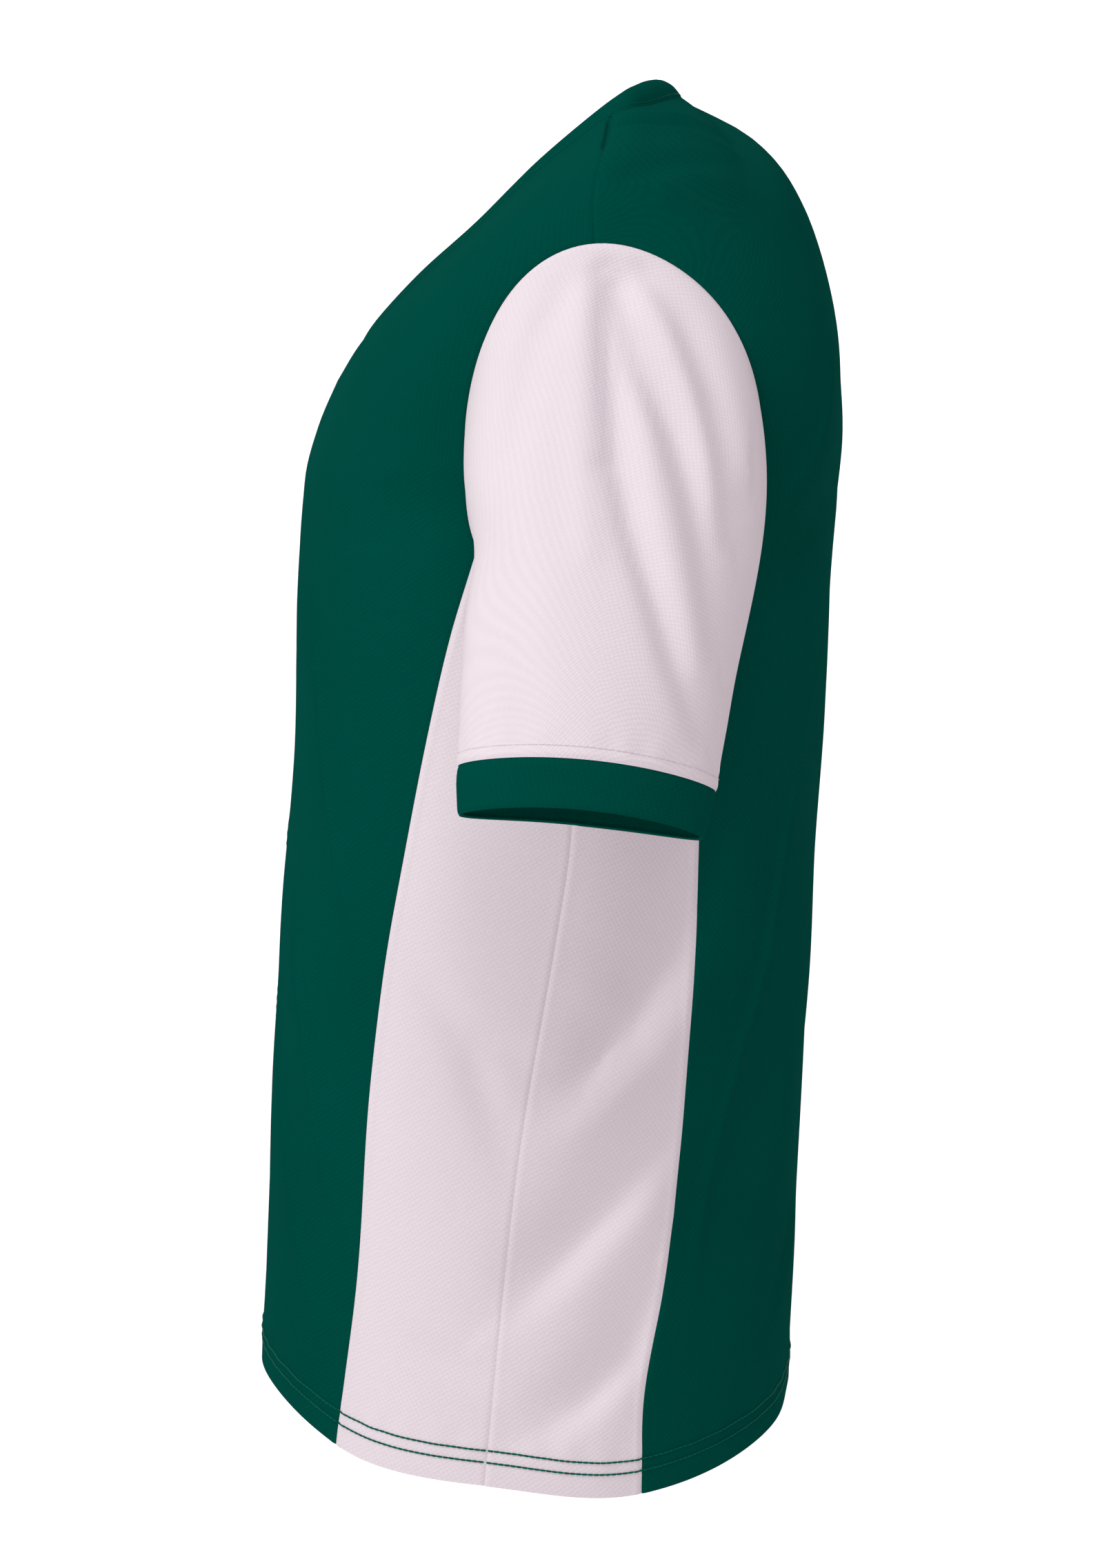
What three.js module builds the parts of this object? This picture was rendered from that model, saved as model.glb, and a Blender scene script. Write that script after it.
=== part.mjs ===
// Short-sleeved football jersey, hollow and filled out as if worn. Millimetres, +Z up, front toward -Y,
// the wearer's left toward +X. The origin lies midway between the two high shoulder points.
import * as THREE from 'three';

// Cloth
const KNIT_WALL = 1.6;
const FOLDED_WALL = 2.4;
const SEAM_GAP = 0.3;

// How finely the cloth is divided
const LOWER_ROWS = 13;
const UPPER_ROWS = 12;
const PANEL_COLUMNS = 8;
const SIDE_COLUMNS = 3;
const SLEEVE_ROWS = 10;
const CUFF_ROWS = 2;
const BAND_ROWS = 2;

// Share of the upper rows below the point of the V, and below the middle of the back neck
const V_SHARE = 3 / 12;
const BACK_NECK_SHARE = 9 / 12;

// Centre front and centre back lines, by height
const CENTRE_FRONT = [
  { z: -680, y: -187.5 },
  { z: -580, y: -185 },
  { z: -457, y: -179.5 },
  { z: -335, y: -169.5 },
  { z: -244, y: -168 },
  { z: -183, y: -164 },
  { z: -155, y: -155 },
  { z: -128.5, y: -142.5 },
];
const CENTRE_BACK = [
  { z: -690, y: 100.5 },
  { z: -600, y: 103.5 },
  { z: -487, y: 110 },
  { z: -365, y: 115.3 },
  { z: -244, y: 122.8 },
  { z: -153, y: 127.3 },
  { z: -92, y: 117.5 },
  { z: -50, y: 106 },
  { z: -23, y: 94.5 },
  { z: 5, y: 71 },
  { z: 20, y: 42.5 },
];

// Half width of the torso and how square its outline is, by height
const TORSO_SIDE = [
  { z: -710, half: 188, power: 2.35 },
  { z: -580, half: 190, power: 2.4 },
  { z: -457, half: 192, power: 2.45 },
  { z: -335, half: 193, power: 2.5 },
  { z: -230, half: 193, power: 2.6 },
  { z: -150, half: 195, power: 2.6 },
];

// Seams of the side inserts, by height
const FRONT_SEAM = [
  { z: -700, y: -141 },
  { z: -610, y: -130 },
  { z: -497, y: -121 },
  { z: -440, y: -114.5 },
  { z: -384, y: -104 },
  { z: -328, y: -93 },
  { z: -273, y: -80 },
  { z: -229, y: -67 },
];
const SIDE_SEAM = [
  { z: -706, y: -63.5 },
  { z: -620, y: -55 },
  { z: -528, y: -44.5 },
  { z: -421, y: -26 },
  { z: -371, y: -19 },
  { z: -246, y: -14 },
];
const REAR_SEAM = [
  { z: -706, y: 16.5 },
  { z: -660, y: 18 },
  { z: -606, y: 27.5 },
  { z: -551, y: 35.5 },
  { z: -495, y: 40.5 },
  { z: -384, y: 46 },
  { z: -244, y: 48 },
];

// Height of the hem at each line, how steeply it falls toward the back there, and the underarm row
const HEM = { front: -661, front_seam: -688, side_seam: -702, rear_seam: -708, back: -677 };
const HEM_FALL = { front_seam: 0.32, side_seam: 0.1, rear_seam: -0.12 };
const UNDERARM = { front: -206, back: -222 };

// Armhole: an oval seen from the side, round above and squarer below
const ARMHOLE = { y: 2, z: -175, half_depth: 74, rise: 97, drop: 71, power_above: 2, power_below: 4, lean: 10 };
const ARMHOLE_X = { top: 212, slope: 0.14, blend_from: -246, blend_to: -120 };
const ARMHOLE_ANGLES = { shoulder: 95.6, front_seam: 218.6, side_seam: 257.3, rear_seam: 303.7 };

// Neckline and free edge of the neckband, from the V (0) over the shoulder point (1) to the back (2)
const NECK = [
  { t: 0.0, x: 0, y: -142.5, z: -128.5, edge_x: 0, edge_y: -127, edge_z: -107 },
  { t: 0.2, x: 21, y: -126.5, z: -106, edge_x: 9, edge_y: -120, edge_z: -97 },
  { t: 0.4, x: 43, y: -102, z: -82.5, edge_x: 29, edge_y: -96, edge_z: -73.5 },
  { t: 0.6, x: 63, y: -71, z: -57, edge_x: 48, edge_y: -66, edge_z: -49 },
  { t: 0.8, x: 80, y: -36, z: -27, edge_x: 65, edge_y: -34, edge_z: -18 },
  { t: 1.0, x: 90, y: 1.5, z: 0, edge_x: 75, edge_y: 0.5, edge_z: 10.5 },
  { t: 1.35, x: 75, y: 23, z: 8, edge_x: 63, edge_y: 16.5, edge_z: 20 },
  { t: 1.7, x: 38, y: 38, z: 17, edge_x: 32, edge_y: 26.5, edge_z: 27.8 },
  { t: 2.0, x: 0, y: 42.5, z: 20, edge_x: 0, edge_y: 29.5, edge_z: 31 },
  { t: 2.3, x: -38, y: 38, z: 17, edge_x: -32, edge_y: 26.5, edge_z: 27.8 },
];

// How the upper rows leave the centre or the neckline, and how far their two ends reach into the row
const FRONT_ROWS = [
  { t: 0.0, x: 1, y: 0, z: 0, lead: 0.4, tail: 0.4 },
  { t: 0.25, x: 0.98, y: -0.08, z: -0.1, lead: 0.42, tail: 0.34 },
  { t: 0.6, x: 0.93, y: -0.15, z: -0.33, lead: 0.52, tail: 0.28 },
  { t: 1.0, x: 0.95, y: -0.03, z: -0.31, lead: 0.76, tail: 0.26 },
];
const BACK_ROWS = [
  { t: 0.0, x: 1, y: 0, z: 0, lead: 0.4, tail: 0.4 },
  { t: 0.5, x: 1, y: 0, z: 0, lead: 0.44, tail: 0.3 },
  { t: 0.75, x: 0.9, y: 0.26, z: -0.3, lead: 0.42, tail: 0.27 },
  { t: 0.88, x: 0.93, y: 0.12, z: -0.3, lead: 0.56, tail: 0.26 },
  { t: 1.0, x: 0.95, y: -0.03, z: -0.31, lead: 0.76, tail: 0.26 },
];
const LOWER_REACH = 0.4;
const SIDE_REACH = 0.34;

// Sleeve end, where the cuff is sewn on, and the cuff below it
const SLEEVE_END = { x: 286, y: -12, z: -339, half_x: 36, half_y: 62, arch: 4.5 };
const SLEEVE_AXIS = new THREE.Vector3(0.17, -0.1, -0.98).normalize();
const SLEEVE_SPREAD = { front: 0.06, rear: 0.16 };
const CUFF = { height: 23.5, half_x: 33, half_y: 58.5 };

// Largest folds: soft troughs along a path, read from the side as [y, z] or from the back as [x, z]
const TORSO_FOLDS = [
  { side: 1, view: 'side', reach: 15, depth: 4, path: [[39, -405], [8, -468], [-10, -491], [-28, -503]] },
  { side: 1, view: 'side', reach: 17, depth: 4, path: [[39, -510], [4, -556], [-28, -591], [-52, -614]] },
  { side: 1, view: 'side', reach: 14, depth: 3, path: [[22, -598], [8, -637], [-14, -660], [-40, -676]] },
  { side: 1, view: 'back', reach: 24, depth: 5, path: [[120, -206], [157, -257], [170, -314]] },
  { side: 1, view: 'back', reach: 22, depth: 4, path: [[116, -433], [139, -522], [160, -572]] },
  { side: -1, view: 'side', reach: 16, depth: 4, path: [[42, -392], [14, -446], [-12, -482], [-36, -497]] },
  { side: -1, view: 'side', reach: 16, depth: 4, path: [[36, -528], [0, -570], [-36, -606]] },
  { side: -1, view: 'back', reach: 24, depth: 5, path: [[112, -214], [150, -270], [168, -330]] },
  { side: -1, view: 'back', reach: 22, depth: 4, path: [[104, -448], [132, -530], [156, -590]] },
];
const SLEEVE_FOLDS = [
  { side: 1, reach: 13, depth: 5, path: [[-5, -100], [-1, -140], [7, -195], [16, -244], [27, -292]] },
  { side: 1, reach: 12, depth: 4, path: [[4, -108], [25, -154], [37, -194], [44, -244], [50, -290]] },
  { side: -1, reach: 13, depth: 5, path: [[-3, -102], [4, -150], [14, -204], [22, -250], [30, -290]] },
  { side: -1, reach: 12, depth: 4, path: [[8, -110], [28, -150], [41, -200], [47, -250], [51, -286]] },
];

const SIDES = [['left', 1], ['right', -1]];
const COLOURS = { green: 0x02493f, pale: 0xe4d6dd };

const vec = (x, y, z) => new THREE.Vector3(x, y, z);
const mix = (a, b, t) => a + (b - a) * t;
const radians = (degrees) => (degrees * Math.PI) / 180;

function smooth(from, to, value) {
  const t = Math.min(Math.max((value - from) / (to - from), 0), 1);
  return t * t * (3 - 2 * t);
}

// Value of one column of a table at a station, on a smooth curve through its rows
function read(table, by, column, station) {
  const last = table.length - 1;
  const at = Math.min(Math.max(station, table[0][by]), table[last][by]);
  let k = 0;
  while (k < last - 1 && at > table[k + 1][by]) k += 1;
  const slope = (i) => {
    const a = table[Math.max(i - 1, 0)];
    const b = table[Math.min(i + 1, last)];
    return (b[column] - a[column]) / (b[by] - a[by]);
  };
  const span = table[k + 1][by] - table[k][by];
  const t = (at - table[k][by]) / span;
  const start = (1 + 2 * t) * (1 - t) ** 2 * table[k][column] + t * (1 - t) ** 2 * span * slope(k);
  const end = t * t * (3 - 2 * t) * table[k + 1][column] + t * t * (t - 1) * span * slope(k + 1);
  return start + end;
}

// Centre and half depth of the torso outline at a height
function torso_depth(z) {
  const front = read(CENTRE_FRONT, 'z', 'y', z);
  const back = read(CENTRE_BACK, 'z', 'y', Math.min(z, -120));
  return { centre: (front + back) / 2, half: (back - front) / 2 };
}

// Side wall of the torso; above the underarm it widens into the shoulder
function side_x(y, z) {
  const depth = torso_depth(z);
  const power = read(TORSO_SIDE, 'z', 'power', z);
  const share = Math.min(Math.abs((y - depth.centre) / depth.half), 1);
  const torso = read(TORSO_SIDE, 'z', 'half', z) * (1 - share ** power) ** (1 / power);
  const shoulder = ARMHOLE_X.top + ARMHOLE_X.slope * (z - ARMHOLE.z - ARMHOLE.rise);
  return mix(torso, shoulder, smooth(ARMHOLE_X.blend_from, ARMHOLE_X.blend_to, z));
}

// Direction along the torso outline at a point of the side wall, toward the back
function side_heading(y, z) {
  const step = 2;
  return vec(side_x(y + step, z) - side_x(y - step, z), 2 * step, 0).normalize();
}

function side_point(seam, z) {
  const y = read(seam, 'z', 'y', z);
  return vec(side_x(y, z), y, z);
}

// Point of the armhole at an angle: 0 at the rear, 90 at the top, 180 at the front, 270 at the underarm
function armhole_point(angle) {
  const across = Math.cos(radians(angle));
  const up = Math.sin(radians(angle));
  const height = up > 0 ? ARMHOLE.rise : ARMHOLE.drop;
  const power = up > 0 ? ARMHOLE.power_above : ARMHOLE.power_below;
  const size = Math.abs(across / ARMHOLE.half_depth) ** power + Math.abs(up / height) ** power;
  const radius = size ** (-1 / power);
  const y = ARMHOLE.y + radius * across;
  const lean = up > 0 ? ARMHOLE.lean * across * up ** (across > 0 ? 6 : 2) : 0;
  const z = ARMHOLE.z + radius * up - lean;
  return vec(side_x(y, z), y, z);
}

function curve_point(a, b, c, d, t) {
  const point = a.clone().multiplyScalar((1 - t) ** 3);
  point.addScaledVector(b, 3 * t * (1 - t) ** 2);
  point.addScaledVector(c, 3 * t * t * (1 - t));
  return point.addScaledVector(d, t ** 3);
}

// A row of points between two ends, each end left in its own direction
function row_of_points(start, leaving, lead, end, arriving, tail, columns) {
  const chord = start.distanceTo(end);
  const first = start.clone().addScaledVector(leaving, lead * chord);
  const last = end.clone().addScaledVector(arriving, -tail * chord);
  return Array.from({ length: columns + 1 }, (_, j) => curve_point(start, first, last, end, j / columns));
}

// Distance from a point to a path, and how far along the path its nearest point lies
function path_distance(a, b, path) {
  let best = { distance: Infinity, along: 0 };
  for (let k = 0; k + 1 < path.length; k += 1) {
    const [from, to] = [path[k], path[k + 1]];
    const run = [to[0] - from[0], to[1] - from[1]];
    const size = run[0] ** 2 + run[1] ** 2;
    const t = Math.min(Math.max(((a - from[0]) * run[0] + (b - from[1]) * run[1]) / size, 0), 1);
    const distance = Math.hypot(a - from[0] - t * run[0], b - from[1] - t * run[1]);
    if (distance < best.distance) best = { distance, along: (k + t) / (path.length - 1) };
  }
  return best;
}

function trough(fold, a, b) {
  const near = path_distance(a, b, fold.path);
  const fade = 0.35 + 0.65 * Math.sin(Math.PI * near.along);
  return fold.depth * fade * Math.exp(-((near.distance / fold.reach) ** 2));
}

// The torso is pressed in along its folds, square to its outline
function fold_torso(point, side) {
  let depth = 0;
  for (const fold of TORSO_FOLDS.filter((row) => row.side === side)) {
    if (fold.view === 'side') depth += trough(fold, point.y, point.z) * smooth(140, 175, point.x);
    if (fold.view === 'back') depth += trough(fold, point.x, point.z) * smooth(40, 70, point.y);
  }
  const { centre, half } = torso_depth(point.z);
  const outward = vec(point.x / 193 ** 2, (point.y - centre) / half ** 2, 0).normalize();
  return point.clone().addScaledVector(outward, -depth);
}

function mirrored(net) {
  return net.map((row) => row.map((point) => vec(-point.x, point.y, point.z)));
}

// Rows from the hem up to the underarm, at the same shares of height on every piece
function lower_net(start_at, end_at, columns, reach) {
  const net = [];
  for (let i = 0; i <= LOWER_ROWS; i += 1) {
    const start = start_at(i / LOWER_ROWS);
    const end = end_at(i / LOWER_ROWS);
    net.push(row_of_points(start.point, start.heading, reach, end.point, end.heading, reach, columns));
  }
  return net;
}

function centre_line(table, hem, top) {
  return (share) => {
    const z = mix(hem, top, share);
    return { point: vec(0, read(table, 'z', 'y', z), z), heading: vec(1, 0, 0) };
  };
}

function seam_line(table, hem, fall, angle, toward = 1) {
  const top = armhole_point(angle).z;
  return (share) => {
    const point = side_point(table, mix(hem, top, share));
    if (share === 1) point.copy(armhole_point(angle));
    const heading = side_heading(point.y, point.z);
    heading.z -= fall * (1 - share) ** 6;
    return { point, heading: heading.multiplyScalar(toward) };
  };
}

const LINES = {
  front: centre_line(CENTRE_FRONT, HEM.front, UNDERARM.front),
  back: centre_line(CENTRE_BACK, HEM.back, UNDERARM.back),
  front_seam: seam_line(FRONT_SEAM, HEM.front_seam, HEM_FALL.front_seam, ARMHOLE_ANGLES.front_seam),
  side_seam: seam_line(SIDE_SEAM, HEM.side_seam, HEM_FALL.side_seam, ARMHOLE_ANGLES.side_seam),
  rear_seam: seam_line(REAR_SEAM, HEM.rear_seam, HEM_FALL.rear_seam, ARMHOLE_ANGLES.rear_seam),
  from_back: seam_line(REAR_SEAM, HEM.rear_seam, HEM_FALL.rear_seam, ARMHOLE_ANGLES.rear_seam, -1),
};

function neck_point(t) {
  return vec(read(NECK, 't', 'x', t), read(NECK, 't', 'y', t), read(NECK, 't', 'z', t));
}

function neck_edge(t) {
  return vec(read(NECK, 't', 'edge_x', t), read(NECK, 't', 'edge_y', t), read(NECK, 't', 'edge_z', t));
}

// Inner ends of the upper rows: up the centre front to the V, then up the neckline
function front_start(t) {
  if (t > V_SHARE) return neck_point((t - V_SHARE) / (1 - V_SHARE));
  const z = mix(UNDERARM.front, NECK[0].z, t / V_SHARE);
  return vec(0, read(CENTRE_FRONT, 'z', 'y', z), z);
}

// Inner ends of the upper rows: up the centre back, then along the neckline to the shoulder
function back_start(t) {
  if (t > BACK_NECK_SHARE) return neck_point(2 - (t - BACK_NECK_SHARE) / (1 - BACK_NECK_SHARE));
  const rise = 1 - (1 - t / BACK_NECK_SHARE) ** 1.3;
  const z = mix(UNDERARM.back, neck_point(2).z, rise);
  return vec(0, read(CENTRE_BACK, 'z', 'y', z), z);
}

// Direction in which a row runs into the armhole: along the torso below, down over the shoulder above
function armhole_heading(angle, from_back) {
  const point = armhole_point(angle);
  const low = side_heading(point.y, point.z).multiplyScalar(from_back ? -1 : 1);
  const inward = vec(0.2, -Math.cos(radians(angle)), -Math.sin(radians(angle))).normalize();
  const height = from_back ? angle : 180 - angle;
  return low.lerp(inward, smooth(-45, 25, height)).normalize();
}

function upper_net(rows, start_at, angle_at, from_back) {
  const net = [];
  for (let i = 1; i <= UPPER_ROWS; i += 1) {
    const t = i / UPPER_ROWS;
    const leaving = vec(...['x', 'y', 'z'].map((column) => read(rows, 't', column, t))).normalize();
    const lead = read(rows, 't', 'lead', t);
    const tail = read(rows, 't', 'tail', t);
    const angle = angle_at(t);
    const arriving = armhole_heading(angle, from_back);
    net.push(row_of_points(start_at(t), leaving, lead, armhole_point(angle), arriving, tail, PANEL_COLUMNS));
  }
  return net;
}

const front_angle = (t) => mix(ARMHOLE_ANGLES.front_seam, ARMHOLE_ANGLES.shoulder, t);
const back_angle = (t) => mix(ARMHOLE_ANGLES.rear_seam - 360, ARMHOLE_ANGLES.shoulder, t);

function front_net() {
  const lower = lower_net(LINES.front, LINES.front_seam, PANEL_COLUMNS, LOWER_REACH);
  return [...lower, ...upper_net(FRONT_ROWS, front_start, front_angle, false)];
}

function back_net() {
  const lower = lower_net(LINES.back, LINES.from_back, PANEL_COLUMNS, LOWER_REACH);
  return [...lower, ...upper_net(BACK_ROWS, back_start, back_angle, true)];
}

// A side insert: its top row follows the underarm part of the armhole
function insert_net(start_line, end_line, start_angle, end_angle) {
  const net = lower_net(start_line, end_line, SIDE_COLUMNS, SIDE_REACH);
  const angle = (j) => mix(start_angle, end_angle, j / SIDE_COLUMNS);
  net[LOWER_ROWS] = net[LOWER_ROWS].map((_, j) => armhole_point(angle(j)));
  return net;
}

// Armhole angles of all pieces sewn round it, once round from the rear seam over the shoulder
function armhole_angles() {
  const { front_seam, side_seam, rear_seam } = ARMHOLE_ANGLES;
  const angles = [];
  for (let i = 0; i < UPPER_ROWS; i += 1) angles.push(back_angle(i / UPPER_ROWS));
  for (let i = 0; i < UPPER_ROWS; i += 1) angles.push(front_angle(1 - i / UPPER_ROWS));
  for (let i = 0; i < SIDE_COLUMNS; i += 1) angles.push(mix(front_seam, side_seam, i / SIDE_COLUMNS));
  for (let i = 0; i <= SIDE_COLUMNS; i += 1) angles.push(mix(side_seam, rear_seam, i / SIDE_COLUMNS));
  return angles;
}

// Oval square to the sleeve, so far below its end
function sleeve_ring(angle, below, half_x, half_y) {
  const across = vec(0, 1, 0).addScaledVector(SLEEVE_AXIS, -SLEEVE_AXIS.y).normalize();
  const outward = vec(1, 0, 0).addScaledVector(SLEEVE_AXIS, -SLEEVE_AXIS.x).normalize();
  const drop = below - SLEEVE_END.arch * Math.sin(radians(angle)) ** 2;
  const point = vec(SLEEVE_END.x, SLEEVE_END.y, SLEEVE_END.z).addScaledVector(SLEEVE_AXIS, drop);
  point.addScaledVector(across, half_y * Math.cos(radians(angle)));
  return point.addScaledVector(outward, half_x * Math.sin(radians(angle)));
}

// A lengthwise line of the sleeve, from the armhole to the cuff seam
function sleeve_line(angle, side) {
  const up = Math.sin(radians(angle));
  const across = Math.cos(radians(angle));
  const start = armhole_point(angle);
  start.y -= (SEAM_GAP / 2) * across;
  start.z -= (SEAM_GAP / 2) * up;
  const end = sleeve_ring(angle, 0, SLEEVE_END.half_x, SLEEVE_END.half_y);
  const chord = start.distanceTo(end);
  const sideways = (across > 0 ? SLEEVE_SPREAD.rear : SLEEVE_SPREAD.front) * across;
  const leaving = vec(0.6 - 0.25 * up, sideways, -0.72 - 0.22 * up).normalize();
  const first = start.clone().addScaledVector(leaving, mix(0.2, 0.38, (1 + up) / 2) * chord);
  const last = end.clone().addScaledVector(SLEEVE_AXIS, -0.3 * chord);
  const line = [];
  for (let i = 0; i <= SLEEVE_ROWS; i += 1) {
    const t = i / SLEEVE_ROWS;
    const point = curve_point(start, first, last, end, t);
    const outer = smooth(-0.2, 0.5, up) * smooth(0, 0.15, t) * smooth(1, 0.85, t);
    let depth = 0;
    for (const fold of SLEEVE_FOLDS.filter((row) => row.side === side)) {
      depth += trough(fold, point.y, point.z) * outer;
    }
    point.x -= depth;
    line.push(point);
  }
  return line;
}

function sleeve_net(side) {
  const lines = armhole_angles().map((angle) => sleeve_line(angle, side));
  return lines[0].map((_, i) => lines.map((line) => line[i]));
}

function cuff_net() {
  const net = [];
  for (let i = 0; i <= CUFF_ROWS; i += 1) {
    const t = i / CUFF_ROWS;
    const half_x = mix(SLEEVE_END.half_x, CUFF.half_x, t);
    const half_y = mix(SLEEVE_END.half_y, CUFF.half_y, t);
    net.push(armhole_angles().map((angle) => sleeve_ring(angle, CUFF.height * t, half_x, half_y)));
  }
  return net;
}

// Neckband stations match the rows of the front and back panels that end on the neckline
function band_net() {
  const front_steps = Math.round(UPPER_ROWS * (1 - V_SHARE));
  const back_steps = Math.round(UPPER_ROWS * (1 - BACK_NECK_SHARE));
  const stations = [];
  for (let i = 0; i < front_steps; i += 1) stations.push(i / front_steps);
  for (let i = 0; i <= back_steps; i += 1) stations.push(1 + i / back_steps);
  const net = [];
  for (let i = 0; i <= BAND_ROWS; i += 1) {
    net.push(stations.map((t) => neck_point(t).lerp(neck_edge(t), i / BAND_ROWS)));
  }
  return net;
}

// Joins nets of points into one list of corners and triangles, with the direction square to each corner
function join_nets(nets) {
  const corners = [];
  const keys = [];
  const known = new Map();
  const faces = [];
  const corner = (point) => {
    const key = [point.x, point.y, point.z].map((value) => Math.round(value * 1000)).join(' ');
    if (!known.has(key)) {
      known.set(key, corners.push(point.clone()) - 1);
      keys.push(key);
    }
    return known.get(key);
  };
  for (const { net, flip } of nets) {
    const ids = net.map((row) => row.map(corner));
    for (let i = 0; i + 1 < ids.length; i += 1) {
      for (let j = 0; j + 1 < ids[i].length; j += 1) {
        const quad = [ids[i][j], ids[i][j + 1], ids[i + 1][j + 1], ids[i + 1][j]];
        if (flip) quad.reverse();
        faces.push([quad[0], quad[1], quad[2]], [quad[0], quad[2], quad[3]]);
      }
    }
  }
  const normals = corners.map(() => vec(0, 0, 0));
  for (const face of faces) {
    const [a, b, c] = face.map((id) => corners[id]);
    const normal = b.clone().sub(a).cross(c.clone().sub(a));
    face.forEach((id) => normals[id].add(normal));
  }
  normals.forEach((normal) => normal.normalize());
  return { corners, keys, faces, normals };
}

// Edges used by one triangle only, each run so that the cloth lies on its left
function open_edges(faces) {
  const edges = new Map();
  for (const face of faces) {
    face.forEach((id, k) => {
      const next = face[(k + 1) % 3];
      if (edges.has(`${next} ${id}`)) edges.delete(`${next} ${id}`);
      else edges.set(`${id} ${next}`, [id, next]);
    });
  }
  return [...edges.values()];
}

// Gives the joined nets a wall on the inside, closed by rims, and draws its edges back from the seams.
// Corners shared with a neighbour take the direction of the whole body, so rims stay parallel.
function cloth(name, nets, wall, colour, body) {
  const { corners, keys, faces, normals } = join_nets(nets);
  if (body) {
    keys.forEach((key, id) => normals[id].copy(body.normals[body.keys.indexOf(key)]));
  }
  const edges = open_edges(faces);
  const inward = corners.map(() => []);
  for (const [a, b] of edges) {
    const run = corners[b].clone().sub(corners[a]);
    for (const id of [a, b]) inward[id].push(normals[id].clone().cross(run).normalize());
  }
  const outer = corners.map((point, id) => {
    if (!inward[id].length) return point;
    const middle = inward[id].reduce((sum, one) => sum.add(one), vec(0, 0, 0)).normalize();
    const spread = Math.max(middle.dot(inward[id][inward[id].length - 1]), 0.5);
    return point.clone().addScaledVector(middle, SEAM_GAP / 2 / spread);
  });
  const inner = outer.map((point, id) => point.clone().addScaledVector(normals[id], -wall));
  const triangles = [];
  for (const [a, b, c] of faces) {
    triangles.push(outer[a], outer[b], outer[c]);
    triangles.push(inner[a], inner[c], inner[b]);
  }
  for (const [a, b] of edges) {
    triangles.push(outer[b], outer[a], inner[a]);
    triangles.push(outer[b], inner[a], inner[b]);
  }
  const geometry = new THREE.BufferGeometry().setFromPoints(triangles);
  geometry.computeVertexNormals();
  const material = new THREE.MeshStandardMaterial({ color: colour, roughness: 0.85, metalness: 0 });
  const mesh = new THREE.Mesh(geometry, material);
  mesh.name = name;
  return mesh;
}

function folded(net, side) {
  return net.map((row) => row.map((point) => fold_torso(point, side)));
}

function one_side(net, side) {
  return [{ net: side > 0 ? net : mirrored(net), flip: side < 0 }];
}

// Left half and mirrored right half of one piece
function both_halves(net, flip) {
  return [
    { net: folded(net, 1), flip },
    { net: mirrored(folded(net, -1)), flip: !flip },
  ];
}

const PIECES = [
  { name: 'front_panel', nets: both_halves(front_net(), false), colour: COLOURS.green },
  { name: 'back_panel', nets: both_halves(back_net(), true), colour: COLOURS.green },
];
const angles = ARMHOLE_ANGLES;
const side_front = insert_net(LINES.front_seam, LINES.side_seam, angles.front_seam, angles.side_seam);
const side_back = insert_net(LINES.side_seam, LINES.rear_seam, angles.side_seam, angles.rear_seam);
for (const [word, side] of SIDES) {
  const inserts = { [`side_front_${word}`]: side_front, [`side_back_${word}`]: side_back };
  for (const [name, net] of Object.entries(inserts)) {
    PIECES.push({ name, nets: one_side(folded(net, side), side), colour: COLOURS.pale });
  }
}

const jersey = new THREE.Group();
jersey.name = 'football_jersey';
const body = join_nets(PIECES.flatMap((piece) => piece.nets));
for (const piece of PIECES) jersey.add(cloth(piece.name, piece.nets, KNIT_WALL, piece.colour, body));
for (const [word, side] of SIDES) {
  jersey.add(cloth(`sleeve_${word}`, one_side(sleeve_net(side), side), KNIT_WALL, COLOURS.pale));
  jersey.add(cloth(`cuff_${word}`, one_side(cuff_net(), side), FOLDED_WALL, COLOURS.green));
}
const band = SIDES.flatMap(([, side]) => one_side(band_net(), side));
jersey.add(cloth('neckband', band, FOLDED_WALL, COLOURS.green));

export default jersey;
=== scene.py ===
"""Football jersey: cloth on the form of its solids, with folds, seams, stitching, knit and soft light."""

import math

import bpy
import numpy as np
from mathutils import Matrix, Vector


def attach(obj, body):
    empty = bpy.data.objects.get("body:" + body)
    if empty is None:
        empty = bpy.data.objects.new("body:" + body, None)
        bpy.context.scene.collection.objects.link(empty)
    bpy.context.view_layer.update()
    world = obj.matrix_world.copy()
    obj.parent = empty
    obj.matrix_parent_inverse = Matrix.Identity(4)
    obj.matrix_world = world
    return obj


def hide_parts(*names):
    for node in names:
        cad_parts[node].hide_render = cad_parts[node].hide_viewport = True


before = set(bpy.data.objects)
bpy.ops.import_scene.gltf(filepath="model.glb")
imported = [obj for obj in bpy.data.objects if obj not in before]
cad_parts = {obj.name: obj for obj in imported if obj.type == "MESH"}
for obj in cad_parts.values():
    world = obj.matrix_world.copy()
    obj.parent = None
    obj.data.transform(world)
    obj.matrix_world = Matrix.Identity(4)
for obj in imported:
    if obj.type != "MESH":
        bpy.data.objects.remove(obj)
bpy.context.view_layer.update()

MM = 0.001

# Camera, 2.1 m to the wearer's left, and the height of the picture's field at the middle of the body
CAMERA = {"distance": 2100, "y": -24.7, "z": -259, "tilt": 2.6, "field_height": 864.5}

# Cloth of the dressed pieces
KNIT = 0.9
FOLDED = 2.0
HEM_WIDTH = 19
HEM_STITCHES = (12, 18)
CUFF_STITCH = 6
BAND_STITCH = 2.2
STITCH = {"length": 3, "gap": 0.05}
ROW_STEP = 4.2
COLUMN_STEP = 2

V_SHARE = 3 / 12
BACK_NECK_SHARE = 9 / 12

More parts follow.
